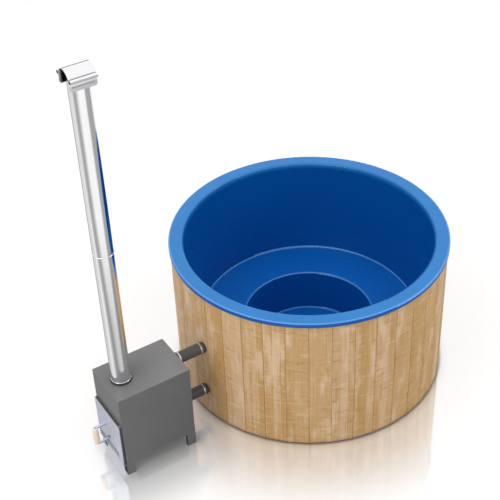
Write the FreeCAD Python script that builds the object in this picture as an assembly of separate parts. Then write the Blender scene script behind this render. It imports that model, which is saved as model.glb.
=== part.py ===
# Wood-burning hot tub: a moulded liner in a stave-clad drum, fired by a heater that stands beside it.
# Millimetres. The origin is on the floor under the tub's axis, +X runs from heater to tub, +Z is up.
import FreeCAD, Part
import math
import os
from FreeCAD import Placement, Rotation, Vector

# Tub liner
rim_radius = 900.0
tub_height = 1005.0
rim_width = 92.0
lip_height = 28.0
liner_wall = 6.0
rim_fold = 2.0
wall_fold = 8.0
wall_taper = 81.0
bench_height = 333.0
bench_width = 297.0
footwell_taper = 45.0

# Wooden cladding
stave_count = 40
first_joint_angle = 1.3
stave_thickness = 28.0
stave_joint_gap = 0.8
stave_chamfer = 2.5
tongue_depth = 7.0
tongue_width = 8.0
tongue_clearance = 0.4
stave_lip_clearance = 0.5
stave_ground_gap = 6.0
hoop_thickness = 18.0
hoop_height = 60.0
hoop_clearance = 0.3
screw_radius = 2.2
screw_bite = 16.0
screw_point = 4.5
screw_head_radius = 4.5
screw_head_height = 3.0

# Base under the liner
joist_height = 45.0
joist_width = 70.0
joist_pitch = 240.0
post_side = 45.0

# Water pipes, hoses and clamps
pipe_offset = 32.0
upper_pipe_drop = 74.0
lower_pipe_rise = 102.0
pipe_radius = 31.5
pipe_wall = 3.0
pipe_fit = 0.2
stave_hole_clearance = 2.0
spigot_length = 72.0
hose_wall = 5.8
hose_end_gap = 2.0
tub_clamp_inset = 14.0
heater_clamp_inset = 25.0
clamp_width = 9.0
clamp_band = 1.0
clamp_fit = 0.05
clamp_housing_height = 10.0
clamp_housing_length = 20.0
clamp_screw_radius = 3.4
clamp_screw_fit = 0.2
clamp_screw_overhang = 3.0
clamp_head_radius = 5.0
clamp_head_height = 5.0

# Grilles inside the tub
grille_radius = 52.0
grille_thickness = 5.0
grille_bevel = 2.5
grille_seat = 0.1
grille_slot_width = 6.0
grille_slot_pitch = 12.0
grille_slots_each_side = 3
grille_margin = 8.0

# Floor drain
drain_offset = 40.0
drain_throat_radius = 21.0
drain_wall = 4.0
drain_flange_radius = 38.0
drain_flange_height = 4.0
drain_flange_bevel = 2.0
drain_fit = 0.3
drain_ground_gap = 3.0
drain_cup_floor = 2.0
drain_pipe_radius = 16.0
drain_pipe_wall = 3.0
drain_pipe_overhang = 7.5
drain_spigot_radius = 15.0
drain_spigot_length = 18.0
plug_fit = 0.5
plug_depth = 14.0
plug_rim_radius = 27.0
plug_rim_height = 4.0
plug_rim_bevel = 2.0
plug_taper = 2.0
plug_neck_radius = 4.8
plug_neck_height = 2.5
plug_knob_flare = 2.6
plug_knob_radius = 8.0
plug_knob_height = 3.9

# Heater casing
heater_gap = 202.0
heater_y = -147.0
heater_depth = 485.0
heater_width = 340.0
heater_height = 632.0
plate = 4.0
leg_height = 100.0
leg_flank_width = 57.0
leg_face_width = 50.0
leg_return_width = 25.0

# Firebox inside the water jacket
water_gap = 32.0
water_head = 74.0
fire_opening_margin = 12.0
fire_opening_height = 190.0
ash_opening_height = 68.0
front_rail_height = 20.0
ledge_width = 20.0
ledge_thickness = 4.0
grate_thickness = 12.0
grate_clearance = 1.0
grate_end_gap = 5.0
grate_frame = 18.0
grate_slot_width = 12.0
grate_slot_pitch = 24.0
ash_pan_wall = 2.0
ash_pan_height = 50.0
ash_pan_clearance = 2.0
ash_pan_end_gap = 8.0

# Flue and chimney
flue_setback = 109.5
chimney_radius = 60.0
chimney_wall = 1.0
flue_fit = 0.3
flue_stub_wall = 3.0
flue_stub_rise = 60.0
collar_height = 12.0
collar_width = 6.0
collar_clearance = 0.4
bead_radius = 2.0
chimney_lower_length = 954.0
chimney_upper_length = 1079.0
swage_length = 50.0
swage_neck = 10.0
swage_taper = 10.0

# Chimney cap
cap_overhang = 15.0
cap_sheet = 1.5
cap_fit = 0.2
cap_rise = 5.0
cap_cheek_drop = 43.0
cap_corner = 14.0
cap_rib_radius = 3.0
cap_rib_drop = 20.0
cap_bead_radius = 11.0
cap_bead_wall = 1.2
cap_bead_rise = 17.0
cap_bead_gap = 0.1
rivet_radius = 2.5
rivet_head_radius = 5.0
rivet_head_height = 2.0
rivet_tail = 1.0
rivets_each_side = 1

# Fire door
door_proud = 17.0
door_seat_gap = 0.5
door_skin = 2.0
door_drop = 8.0
door_top_margin = 21.0
door_left_margin = 9.0
door_hinge_margin = 4.0
hinge_rod_radius = 4.0
hinge_fit = 0.05
lug_gap = 0.3
lug_height = 6.0
lug_half_width = 9.0
hinge_head_radius = 7.0
hinge_head_height = 3.0
shield_gap = 7.5
shield_border = 10.0
shield_post_radius = 6.0
shield_post_inset = 42.0
shield_post_gap = 3.8
seal_width = 10.0

# Air slots and slider
slot_count = 13
slot_width = 8.0
slot_height = 50.0
slot_rise = 14.0
slot_left_margin = 12.0
slot_hinge_margin = 60.75
slider_thickness = 1.5
slider_fit = 0.2
slider_margin = 4.0
guide_lip = 7.0
guide_overlap = 3.0
guide_thickness = 1.5
knob_y_offset = 10.0
knob_rise = 44.0
knob_shank_radius = 4.0
knob_head_radius = 9.0
knob_head_height = 10.0
knob_head_chamfer = 3.0
knob_flange_radius = 7.0
knob_flange_height = 2.0
knob_gap = 0.5

# Door handle
handle_y_offset = 42.0
handle_rise = 55.0
handle_bar_thickness = 9.0
handle_bar_width = 18.0
handle_reach = 73.0
grip_length = 126.0
grip_end_radius = 17.5
grip_middle_radius = 19.5
handle_rod_radius = 3.0
handle_rod_fit = 0.1
nut_across = 10.0
nut_height = 5.0
handle_rod_tail = 3.0

# Places worked out from the sizes above
up = Vector(0, 0, 1)
rim_edge_round = rim_fold + liner_wall
inner_edge_round = wall_fold + liner_wall
rim_inner = rim_radius - rim_width
bench_outer = rim_inner - wall_taper
bench_inner = bench_outer - bench_width
floor_radius = bench_inner - footwell_taper
floor_height = joist_height + liner_wall
rim_underside = tub_height - liner_wall
bench_underside = bench_height - liner_wall

stave_corner = rim_radius - rim_edge_round - stave_lip_clearance
stave_half_angle = math.pi / stave_count
stave_face = stave_corner * math.cos(stave_half_angle)
stave_back = stave_face - stave_thickness
hoop_outer = stave_back - hoop_clearance
hoop_inner = hoop_outer - hoop_thickness

drain_x = joist_pitch / 2 + drain_offset
drain_z = joist_height / 2
drain_outer = drain_throat_radius + drain_wall

rear_x = -stave_corner - heater_gap
front_x = rear_x - heater_depth
right_y = heater_y - heater_width / 2
left_y = heater_y + heater_width / 2
casing_top = heater_height - plate
hearth_z = leg_height + plate
pipe_y = heater_y + pipe_offset
upper_pipe_z = heater_height - upper_pipe_drop
lower_pipe_z = leg_height + lower_pipe_rise
pipe_reach = floor_radius / 2
pipe_bore = pipe_radius - pipe_wall
hose_inner = pipe_radius + pipe_fit
hose_outer = hose_inner + hose_wall
fire_half_width = heater_width / 2 - plate - water_gap - plate
fire_back_x = rear_x - plate - water_gap - plate
fire_roof_z = casing_top - water_head - plate
ash_opening_z = hearth_z + plate
fire_opening_z = ash_opening_z + ash_opening_height + front_rail_height
grate_z = fire_opening_z - grate_thickness
fire_opening_half = fire_half_width - fire_opening_margin
fire_opening_top = fire_opening_z + fire_opening_height

flue_x = front_x + flue_setback
chimney_bore = chimney_radius - chimney_wall
flue_stub_radius = chimney_bore - flue_fit
chimney_seam_z = heater_height + chimney_lower_length
chimney_top_z = chimney_seam_z + chimney_upper_length
cap_spring_z = chimney_top_z + cap_rise
cap_inner = chimney_radius + cap_fit
cap_outer = cap_inner + cap_sheet

door_front_x = front_x - door_proud
door_back_x = front_x - door_seat_gap
door_left_y = left_y - door_left_margin
door_bottom_z = leg_height - door_drop
door_top_z = fire_opening_top + shield_border + door_top_margin
barrel_radius = (door_proud - door_seat_gap) / 2
hinge_x = front_x - door_seat_gap - barrel_radius
hinge_y = right_y + door_hinge_margin + barrel_radius
skin_back_x = door_front_x + door_skin
shield_x = skin_back_x + shield_gap
slot_bottom_z = door_bottom_z + slot_rise
slot_top_z = slot_bottom_z + slot_height
knob_y = heater_y + knob_y_offset
knob_z = slot_top_z + knob_rise
slider_low_z = slot_bottom_z - slider_margin
slider_high_z = knob_z + knob_shank_radius + knob_flange_radius
guide_top_z = slider_high_z + slider_fit + guide_lip
slot_first_y = door_left_y - slot_left_margin
slot_last_y = hinge_y + slot_hinge_margin
slot_pitch = (slot_first_y - slot_last_y) / (slot_count - 1)
slider_travel = slot_pitch / 2
handle_y = heater_y + handle_y_offset
grip_x = door_front_x - handle_reach
handle_low_z = door_bottom_z + handle_rise
grip_low_z = handle_low_z + handle_bar_thickness
grip_high_z = grip_low_z + grip_length


def box(x0, x1, y0, y1, z0, z1):
    return Part.makeBox(x1 - x0, y1 - y0, z1 - z0, Vector(x0, y0, z0))


def rod(radius, start, end):
    return Part.makeCylinder(radius, (end - start).Length, start, end - start)


def tube(outer, inner, start, end):
    return rod(outer, start, end).cut(rod(inner, start, end))


def ring(outer, inner, z0, z1, x=0.0, y=0.0):
    return tube(outer, inner, Vector(x, y, z0), Vector(x, y, z1))


def prism(points, along):
    return Part.Face(Part.makePolygon(points + points[:1])).extrude(along)


def turned(profile, place):
    # A solid of revolution from (radius, height) pairs, stood on the axis of the placement.
    points = [Vector(radius, 0, height) for radius, height in profile]
    solid = Part.Face(Part.makePolygon(points + points[:1])).revolve(Vector(), up, 360)
    solid.Placement = place
    return solid


def hexagon(across, height, base):
    corner = across / math.sqrt(3)
    points = []
    for side in range(6):
        angle = math.radians(60 * side)
        points.append(base + Vector(corner * math.cos(angle), corner * math.sin(angle), 0))
    return prism(points, up * height)


def fused(first, *others):
    return first.fuse(list(others)).removeSplitter()


def save(node, *solids):
    shape = Part.makeCompound(list(solids)) if len(solids) > 1 else solids[0]
    shape.exportStep("parts/" + node + ".step")


def left_of(step):
    return Vector(-step.z, 0, step.x).normalize()


def offset_points(points, distance):
    # The same run of points moved to its left, with mitred corners.
    moved = []
    for index, point in enumerate(points):
        before = left_of(point - points[index - 1]) if index > 0 else None
        after = left_of(points[index + 1] - point) if index + 1 < len(points) else None
        first = before or after
        second = after or before
        mitre = distance / (1 + first.dot(second))
        moved.append(point + (first + second) * mitre)
    return moved


def rounded_run(points, radii):
    # Straight edges joined by tangent arcs.
    edges = []
    start = points[0]
    for index in range(1, len(points) - 1):
        corner = points[index]
        back = (points[index - 1] - corner).normalize()
        ahead = (points[index + 1] - corner).normalize()
        half_turn = back.getAngle(ahead) / 2
        radius = radii[index - 1]
        reach = radius / math.tan(half_turn)
        middle = corner + (back + ahead).normalize() * (radius / math.sin(half_turn) - radius)
        edges.append(Part.LineSegment(start, corner + back * reach).toShape())
        edges.append(Part.Arc(corner + back * reach, middle, corner + ahead * reach).toShape())
        start = corner + ahead * reach
    edges.append(Part.LineSegment(start, points[-1]).toShape())
    return edges


def pipe_line(z, x0, x1, radius):
    return rod(radius, Vector(x0, pipe_y, z), Vector(x1, pipe_y, z))


def tub_liner():
    wet = [
        Vector(rim_radius, 0, tub_height - lip_height),
        Vector(rim_radius, 0, tub_height),
        Vector(rim_inner, 0, tub_height),
        Vector(bench_outer, 0, bench_height),
        Vector(bench_inner, 0, bench_height),
        Vector(floor_radius, 0, floor_height),
        Vector(0, 0, floor_height),
    ]
    dry = offset_points(wet, liner_wall)
    wet_radii = [rim_edge_round] + [inner_edge_round] * 4
    turns_in = [True, True, False, True, False]
    dry_radii = [r - liner_wall if inside else r + liner_wall for r, inside in zip(wet_radii, turns_in)]
    edges = rounded_run(wet, wet_radii) + rounded_run(dry, dry_radii)
    edges.append(Part.LineSegment(wet[0], dry[0]).toShape())
    edges.append(Part.LineSegment(wet[-1], dry[-1]).toShape())
    liner = Part.Face(Part.Wire(Part.__sortEdges__(edges))).revolve(Vector(), up, 360)
    holes = [
        pipe_line(upper_pipe_z, -rim_radius, -bench_inner, pipe_radius + pipe_fit),
        pipe_line(lower_pipe_z, -bench_outer, -pipe_reach, pipe_radius + pipe_fit),
        rod(drain_outer + drain_fit, Vector(drain_x, 0, 0), Vector(drain_x, 0, bench_height)),
    ]
    save("tub_liner", liner.cut(holes))


def stave_outline():
    half = stave_half_angle
    along = Vector(math.cos(half), math.sin(half), 0)
    across = Vector(-math.sin(half), math.cos(half), 0)
    edge = -stave_joint_gap / 2
    outer = (stave_face + edge * math.sin(half)) / math.cos(half)
    inner = (stave_back + edge * math.sin(half)) / math.cos(half)
    middle = (outer + inner) / 2

    def side(half_width, depth):
        pairs = [
            (outer - stave_chamfer, edge),
            (middle + half_width, edge),
            (middle + half_width, edge + depth),
            (middle - half_width, edge + depth),
            (middle - half_width, edge),
            (inner, edge),
        ]
        run = [along * radial + across * out for radial, out in pairs]
        face_corner = along * outer + across * edge
        return [Vector(stave_face, face_corner.y - stave_chamfer, 0)] + run

    tongue = side(tongue_width / 2, tongue_depth)
    groove = side(tongue_width / 2 + tongue_clearance, -tongue_depth - tongue_clearance)
    mirrored = [Vector(point.x, -point.y, 0) for point in reversed(groove)]
    return tongue + mirrored


def stave_angle(index):
    return first_joint_angle + 360.0 / stave_count * (index + 0.5)


def wall_staves():
    height = rim_underside - stave_ground_gap
    board = prism(stave_outline(), up * height)
    board.translate(up * stave_ground_gap)
    pipe_hole = pipe_radius + stave_hole_clearance
    drain_hole = rod(
        drain_pipe_radius + stave_hole_clearance,
        Vector(drain_x, hoop_inner - stave_thickness, drain_z),
        Vector(drain_x, rim_radius, drain_z),
    )
    cutters = [
        pipe_line(upper_pipe_z, -rim_radius, stave_thickness - hoop_inner, pipe_hole),
        pipe_line(lower_pipe_z, -rim_radius, stave_thickness - hoop_inner, pipe_hole),
        drain_hole,
    ]
    pipe_bearing = 180.0 - math.degrees(math.asin(pipe_y / stave_face))
    pipe_index = int((pipe_bearing - first_joint_angle) * stave_count // 360.0)
    boards = []
    for index in range(stave_count):
        stave = board.copy()
        stave.rotate(Vector(), up, stave_angle(index))
        for cutter in cutters:
            if stave.BoundBox.intersect(cutter.BoundBox):
                stave = stave.cut(cutter)
        boards.append(max(stave.Solids, key=lambda solid: solid.Volume))
    save("pipe_stave", boards.pop(pipe_index))
    save("wall_staves", *boards)


def cladding_hoops():
    save("upper_hoop", ring(hoop_outer, hoop_inner, rim_underside - hoop_height, rim_underside))
    save("lower_hoop", ring(hoop_outer, hoop_inner, joist_height, joist_height + hoop_height))


def cladding_screws():
    tip = hoop_thickness + hoop_clearance + screw_bite
    profile = [
        (0, -screw_head_height),
        (screw_head_radius, -screw_head_height),
        (screw_head_radius, 0),
        (screw_radius, 0),
        (screw_radius, tip - screw_point),
        (0, tip),
    ]
    screws = []
    for hoop_z in (joist_height + hoop_height / 2, rim_underside - hoop_height / 2):
        for index in range(stave_count):
            angle = math.radians(stave_angle(index))
            outward = Vector(math.cos(angle), math.sin(angle), 0)
            seat = outward * hoop_inner + up * hoop_z
            screws.append(turned(profile, Placement(seat, Rotation(up, outward))))
    save("cladding_screws", *screws)


def joist_places():
    each_side = int((hoop_outer - joist_width) // joist_pitch)
    return [joist_pitch * step for step in range(-each_side, each_side + 1)]


def base_joists():
    joists = []
    for x in joist_places():
        far_edge = abs(x) + joist_width / 2
        half_length = math.sqrt(hoop_outer ** 2 - far_edge ** 2)
        half_width = joist_width / 2
        joists.append(box(x - half_width, x + half_width, -half_length, half_length, 0, joist_height))
    save("base_joists", *joists)


def bench_posts():
    post_radius = (bench_outer + bench_inner) / 2
    half = post_side / 2
    posts = []
    for x in joist_places():
        if abs(x) + post_side > post_radius:
            continue
        y = math.sqrt(post_radius ** 2 - x ** 2)
        for centre in (-y, y):
            posts.append(box(x - half, x + half, centre - half, centre + half, joist_height, bench_underside))
    save("bench_posts", *posts)


def tub_stub(node, z, wet_space):
    outside = Vector(-stave_corner - spigot_length, pipe_y, z)
    inside = Vector(-pipe_reach, pipe_y, z)
    save(node, tube(pipe_radius, pipe_bore, outside, inside).cut(wet_space))


def tub_stubs():
    bath = Part.makeCone(bench_outer, rim_inner, tub_height - bench_height, Vector(0, 0, bench_height))
    well_depth = bench_height - floor_height
    footwell = Part.makeCone(floor_radius, bench_inner, well_depth, Vector(0, 0, floor_height))
    tub_stub("return_stub", upper_pipe_z, bath)
    tub_stub("suction_stub", lower_pipe_z, footwell)


def wall_grille(node, z, foot, head):
    # A slotted disc laid on the sloping wall over a pipe's mouth; foot and head are (radius, height).
    slope = (head[0] - foot[0]) / (head[1] - foot[1])
    radius = foot[0] + slope * (z - foot[1])
    lean = math.atan(slope)
    mouth = Vector(-math.sqrt(radius ** 2 - pipe_y ** 2), pipe_y, z)
    level = Vector(-mouth.x, -mouth.y, 0).normalize() * math.cos(lean)
    inward = level + up * math.sin(lean)
    profile = [
        (0, 0),
        (grille_radius, 0),
        (grille_radius, grille_thickness - grille_bevel),
        (grille_radius - grille_bevel, grille_thickness),
        (0, grille_thickness),
    ]
    disc = turned(profile, Placement())
    for step in range(-grille_slots_each_side, grille_slots_each_side + 1):
        y = step * grille_slot_pitch
        half_length = math.sqrt((grille_radius - grille_margin) ** 2 - y ** 2)
        half_width = grille_slot_width / 2
        disc = disc.cut(box(-half_length, half_length, y - half_width, y + half_width, 0, grille_thickness))
    seat = mouth + inward * (grille_radius ** 2 / (2 * radius) + grille_seat)
    disc.Placement = Placement(seat, Rotation(up, inward))
    save(node, disc)


def wall_grilles():
    wall_grille("return_grille", upper_pipe_z, (bench_outer, bench_height), (rim_inner, tub_height))
    wall_grille("suction_grille", lower_pipe_z, (floor_radius, floor_height), (bench_inner, bench_height))


def floor_drain():
    flange_top = floor_height + drain_flange_height
    cup_floor = drain_ground_gap + drain_cup_floor
    profile = [
        (0, drain_ground_gap),
        (drain_outer, drain_ground_gap),
        (drain_outer, floor_height),
        (drain_flange_radius, floor_height),
        (drain_flange_radius, flange_top - drain_flange_bevel),
        (drain_flange_radius - drain_flange_bevel, flange_top),
        (drain_throat_radius, flange_top),
        (drain_throat_radius, cup_floor),
        (0, cup_floor),
    ]
    cup = turned(profile, Placement(Vector(drain_x, 0, 0), Rotation()))
    pipe_start = Vector(drain_x, drain_throat_radius, drain_z)
    face_y = math.sqrt(stave_face ** 2 - drain_x ** 2)
    pipe_end = Vector(drain_x, face_y + drain_pipe_overhang, drain_z)
    save("drain_cup", cup.cut(rod(drain_pipe_radius + pipe_fit, Vector(drain_x, 0, drain_z), pipe_end)))
    spigot_end = pipe_end + Vector(0, drain_spigot_length, 0)
    pipe = fused(rod(drain_pipe_radius, pipe_start, pipe_end), rod(drain_spigot_radius, pipe_end, spigot_end))
    save("drain_pipe", pipe.cut(rod(drain_pipe_radius - drain_pipe_wall, pipe_start, spigot_end)))
    stopper = drain_throat_radius - plug_fit
    neck_top = plug_rim_height + plug_neck_height
    knob_low = neck_top + plug_knob_flare
    profile = [
        (0, -plug_depth),
        (stopper - plug_taper, -plug_depth),
        (stopper, 0),
        (plug_rim_radius, 0),
        (plug_rim_radius, plug_rim_height - plug_rim_bevel),
        (plug_rim_radius - plug_rim_bevel, plug_rim_height),
        (plug_neck_radius, plug_rim_height),
        (plug_neck_radius, neck_top),
        (plug_knob_radius, knob_low),
        (plug_knob_radius, knob_low + plug_knob_height),
        (0, knob_low + plug_knob_height),
    ]
    save("drain_plug", turned(profile, Placement(Vector(drain_x, 0, flange_top), Rotation())))


def hose_span():
    return rear_x + hose_end_gap, -stave_corner - hose_end_gap


def hoses():
    start, end = hose_span()
    for node, z in (("upper_hose", upper_pipe_z), ("lower_hose", lower_pipe_z)):
        save(node, tube(hose_outer, hose_inner, Vector(start, pipe_y, z), Vector(end, pipe_y, z)))


def hose_clamps():
    start, end = hose_span()
    band_inner = hose_outer + clamp_fit
    half_width = clamp_width / 2
    half_length = clamp_housing_length / 2
    housing_y = pipe_y + band_inner
    screw_y = housing_y + clamp_housing_height / 2
    bands = []
    screws = []
    for z in (upper_pipe_z, lower_pipe_z):
        for x in (start + heater_clamp_inset + half_width, end - tub_clamp_inset - half_width):
            first = Vector(x - half_width, pipe_y, z)
            last = Vector(x + half_width, pipe_y, z)
            housing = box(
                x - half_width, x + half_width,
                housing_y, housing_y + clamp_housing_height,
                z - half_length, z + half_length,
            )
            foot = Vector(x, screw_y, z - half_length - clamp_screw_overhang)
            tip = Vector(x, screw_y, z + half_length + clamp_screw_overhang)
            band = fused(tube(band_inner + clamp_band, band_inner, first, last), housing)
            bands.append(band.cut(rod(clamp_screw_radius + clamp_screw_fit, foot, tip)))
            head = rod(clamp_head_radius, foot - up * clamp_head_height, foot)
            screws.append(fused(rod(clamp_screw_radius, foot, tip), head))
    save("hose_clamps", *bands)
    save("clamp_screws", *screws)


def heater_casing():
    inner_right = right_y + plate
    inner_left = left_y - plate
    hole_low = Vector(flue_x, heater_y, casing_top)
    flue_hole = rod(flue_stub_radius + flue_fit, hole_low, hole_low + up * plate)
    top = box(front_x, rear_x, right_y, left_y, casing_top, heater_height)
    save("heater_top", top.cut(flue_hole))
    save("heater_right_side", box(front_x, rear_x, right_y, inner_right, leg_height, casing_top))
    save("heater_left_side", box(front_x, rear_x, inner_left, left_y, leg_height, casing_top))
    rear = box(rear_x - plate, rear_x, inner_right, inner_left, leg_height, casing_top)
    spigot_hole = pipe_radius + pipe_fit
    upper_hole = pipe_line(upper_pipe_z, rear_x - plate, rear_x, spigot_hole)
    lower_hole = pipe_line(lower_pipe_z, rear_x - plate, rear_x, spigot_hole)
    save("heater_rear", rear.cut([upper_hole, lower_hole]))
    front = box(front_x, front_x + plate, inner_right, inner_left, leg_height, casing_top)
    openings = []
    for low, height in ((ash_opening_z, ash_opening_height), (fire_opening_z, fire_opening_height)):
        openings.append(box(
            front_x, front_x + plate,
            heater_y - fire_opening_half, heater_y + fire_opening_half,
            low, low + height,
        ))
    save("heater_front", front.cut(openings))
    save("heater_bottom", box(front_x + plate, rear_x - plate, inner_right, inner_left, leg_height, hearth_z))


def heater_legs():
    ends = {"front": (front_x, leg_face_width), "rear": (rear_x - leg_flank_width, leg_return_width)}
    sides = {"right": (right_y, 1), "left": (left_y, -1)}
    for end, (x, face_width) in ends.items():
        for side, (y, inward) in sides.items():
            skin_y = y + inward * plate
            inner_y = y + inward * face_width
            flank = box(x, x + leg_flank_width, min(y, skin_y), max(y, skin_y), 0, leg_height)
            face = box(x, x + plate, min(y, inner_y), max(y, inner_y), 0, leg_height)
            save("leg_" + end + "_" + side, fused(flank, face))


def firebox():
    inside = front_x + plate
    outside = fire_back_x + plate
    left = heater_y + fire_half_width
    right = heater_y - fire_half_width
    outer_left = left + plate
    outer_right = right - plate
    save("firebox_left_wall", box(inside, fire_back_x, left, outer_left, hearth_z, fire_roof_z))
    save("firebox_right_wall", box(inside, fire_back_x, outer_right, right, hearth_z, fire_roof_z))
    save("firebox_back_wall", box(fire_back_x, outside, outer_right, outer_left, hearth_z, fire_roof_z))
    roof = box(inside, outside, outer_right, outer_left, fire_roof_z, fire_roof_z + plate)
    hole_low = Vector(flue_x, heater_y, fire_roof_z)
    flue_hole = rod(flue_stub_radius + flue_fit, hole_low, hole_low + up * plate)
    save("firebox_roof", roof.cut(flue_hole))


def fire_grate():
    inside = front_x + plate
    ledges = []
    for side in (-1, 1):
        wall = heater_y + side * fire_half_width
        inner = wall - side * ledge_width
        low_y, high_y = sorted((wall, inner))
        ledges.append(box(inside, fire_back_x, low_y, high_y, grate_z - ledge_thickness, grate_z))
    save("grate_ledges", *ledges)
    half = fire_half_width - grate_clearance
    x0 = inside + grate_end_gap
    x1 = fire_back_x - grate_end_gap
    grate = box(x0, x1, heater_y - half, heater_y + half, grate_z, grate_z + grate_thickness)
    slots_each_side = int((half - grate_frame - grate_slot_width / 2) // grate_slot_pitch)
    slots = []
    for step in range(-slots_each_side, slots_each_side + 1):
        y = heater_y + step * grate_slot_pitch
        slots.append(box(
            x0 + grate_frame, x1 - grate_frame,
            y - grate_slot_width / 2, y + grate_slot_width / 2,
            grate_z, grate_z + grate_thickness,
        ))
    save("fire_grate", grate.cut(slots))


def ash_pan():
    x0 = front_x + plate + ash_pan_end_gap
    x1 = fire_back_x - ash_pan_end_gap
    half = fire_opening_half - ash_pan_clearance
    wall = ash_pan_wall
    tray = box(x0, x1, heater_y - half, heater_y + half, hearth_z, hearth_z + ash_pan_height)
    hollow = box(
        x0 + wall, x1 - wall,
        heater_y - half + wall, heater_y + half - wall,
        hearth_z + wall, hearth_z + ash_pan_height,
    )
    save("ash_pan", tray.cut(hollow))


def heater_spigots():
    for node, z in (("upper_spigot", upper_pipe_z), ("lower_spigot", lower_pipe_z)):
        start = Vector(rear_x - plate, pipe_y, z)
        save(node, tube(pipe_radius, pipe_bore, start, Vector(rear_x + spigot_length, pipe_y, z)))


def flue_base():
    stub_bore = flue_stub_radius - flue_stub_wall
    stub_top = heater_height + flue_stub_rise
    save("flue_stub", ring(flue_stub_radius, stub_bore, fire_roof_z, stub_top, flue_x, heater_y))
    collar_inner = chimney_radius + collar_clearance
    collar_outer = collar_inner + collar_width
    collar_top = heater_height + collar_height
    save("flue_collar", ring(collar_outer, collar_inner, heater_height, collar_top, flue_x, heater_y))


def beaded(pipe, z, bore):
    bead = Part.makeTorus(chimney_radius, bead_radius, Vector(flue_x, heater_y, z), up)
    core = rod(bore, Vector(flue_x, heater_y, z - bead_radius), Vector(flue_x, heater_y, z + bead_radius))
    return pipe.fuse(bead.cut(core)).removeSplitter()


def chimney():
    neck = chimney_bore - flue_fit
    profile = [
        (chimney_bore, heater_height),
        (chimney_radius, heater_height),
        (chimney_radius, chimney_seam_z),
        (neck, chimney_seam_z),
        (neck, chimney_seam_z + swage_length),
        (neck - chimney_wall, chimney_seam_z + swage_length),
        (neck - chimney_wall, chimney_seam_z - swage_neck),
        (chimney_bore, chimney_seam_z - swage_neck - swage_taper),
    ]
    lower = turned(profile, Placement(Vector(flue_x, heater_y, 0), Rotation()))
    base_bead_z = heater_height + collar_height + bead_radius
    lower = beaded(lower, base_bead_z, chimney_bore)
    save("chimney_lower", beaded(lower, chimney_seam_z - bead_radius, chimney_bore))
    save("chimney_upper", ring(chimney_radius, chimney_bore, chimney_seam_z, chimney_top_z, flue_x, heater_y))


def chimney_cap():
    half = chimney_radius + cap_overhang
    foot_z = cap_spring_z - cap_cheek_drop
    rib_z = cap_spring_z - cap_rib_drop
    start = Vector(flue_x - half, heater_y, cap_spring_z)
    end = Vector(flue_x + half, heater_y, cap_spring_z)
    arch = tube(cap_outer, cap_inner, start, end)
    below = cap_spring_z - cap_outer
    arch = arch.cut(box(start.x, end.x, heater_y - cap_outer, heater_y + cap_outer, below, cap_spring_z))
    cheeks = []
    ribs = []
    smoke_way = box(start.x, end.x, heater_y - cap_inner, heater_y + cap_inner, foot_z, cap_spring_z)
    for side in (-1, 1):
        y = heater_y + side * cap_inner
        corners = [
            Vector(start.x, y, cap_spring_z),
            Vector(start.x, y, foot_z),
            Vector(end.x, y, foot_z),
            Vector(end.x, y, cap_spring_z),
        ]
        edges = rounded_run(corners, [cap_corner, cap_corner])
        edges.append(Part.LineSegment(corners[-1], corners[0]).toShape())
        cheeks.append(Part.Face(Part.Wire(edges)).extrude(Vector(0, side * cap_sheet, 0)))
        rib_start = Vector(start.x + cap_corner, heater_y + side * cap_outer, rib_z)
        rib_end = Vector(end.x - cap_corner, heater_y + side * cap_outer, rib_z)
        ribs.append(rod(cap_rib_radius, rib_start, rib_end).cut(smoke_way))
    save("chimney_cap", fused(arch, *cheeks, *ribs))
    beads = []
    rivets = []
    bead_z = cap_spring_z + cap_bead_rise
    rivet_length = cap_sheet + cap_fit + chimney_wall + rivet_tail
    rivet_pitch = (rib_z - cap_rib_radius - foot_z) / (rivets_each_side + 1)
    bead_reach = cap_outer + cap_bead_gap + cap_bead_radius
    bead_y = math.sqrt(bead_reach ** 2 - cap_bead_rise ** 2)
    bead_bore = cap_bead_radius - cap_bead_wall
    profile = [
        (0, -rivet_length),
        (rivet_radius, -rivet_length),
        (rivet_radius, 0),
        (rivet_head_radius, 0),
        (rivet_radius, rivet_head_height),
        (0, rivet_head_height),
    ]
    for side in (-1, 1):
        first = Vector(flue_x - half, heater_y + side * bead_y, bead_z)
        last = Vector(flue_x + half, heater_y + side * bead_y, bead_z)
        beads.append(tube(cap_bead_radius, bead_bore, first, last))
        outward = Vector(0, side, 0)
        for step in range(1, rivets_each_side + 1):
            seat = Vector(flue_x, heater_y + side * cap_outer, foot_z + step * rivet_pitch)
            rivets.append(turned(profile, Placement(seat, Rotation(up, outward))))
    save("cap_beads", *beads)
    save("cap_rivets", *rivets)


def slot_row(x0, x1):
    slots = []
    for index in range(slot_count):
        y = slot_first_y - index * slot_pitch
        slots.append(box(
            x0, x1,
            y - slot_width / 2, y + slot_width / 2,
            slot_bottom_z, slot_top_z,
        ))
    return slots


def door_pan():
    skin = box(door_front_x, skin_back_x, hinge_y, door_left_y, door_bottom_z, door_top_z)
    left = box(door_front_x, door_back_x, door_left_y - door_skin, door_left_y, door_bottom_z, door_top_z)
    low = box(door_front_x, door_back_x, hinge_y, door_left_y, door_bottom_z, door_bottom_z + door_skin)
    high = box(door_front_x, door_back_x, hinge_y, door_left_y, door_top_z - door_skin, door_top_z)
    axis_low = Vector(hinge_x, hinge_y, door_bottom_z)
    axis_high = Vector(hinge_x, hinge_y, door_top_z)
    pan = fused(skin, left, low, high, rod(barrel_radius, axis_low, axis_high))
    knob_reach = knob_shank_radius + knob_gap
    knob_slot = box(
        door_front_x, skin_back_x,
        knob_y - slider_travel - knob_reach, knob_y + knob_reach,
        knob_z - knob_reach, knob_z + knob_reach,
    )
    bore = rod(hinge_rod_radius + hinge_fit, axis_low, axis_high)
    save("door_pan", pan.cut([bore, knob_slot] + slot_row(door_front_x, skin_back_x)))


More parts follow.
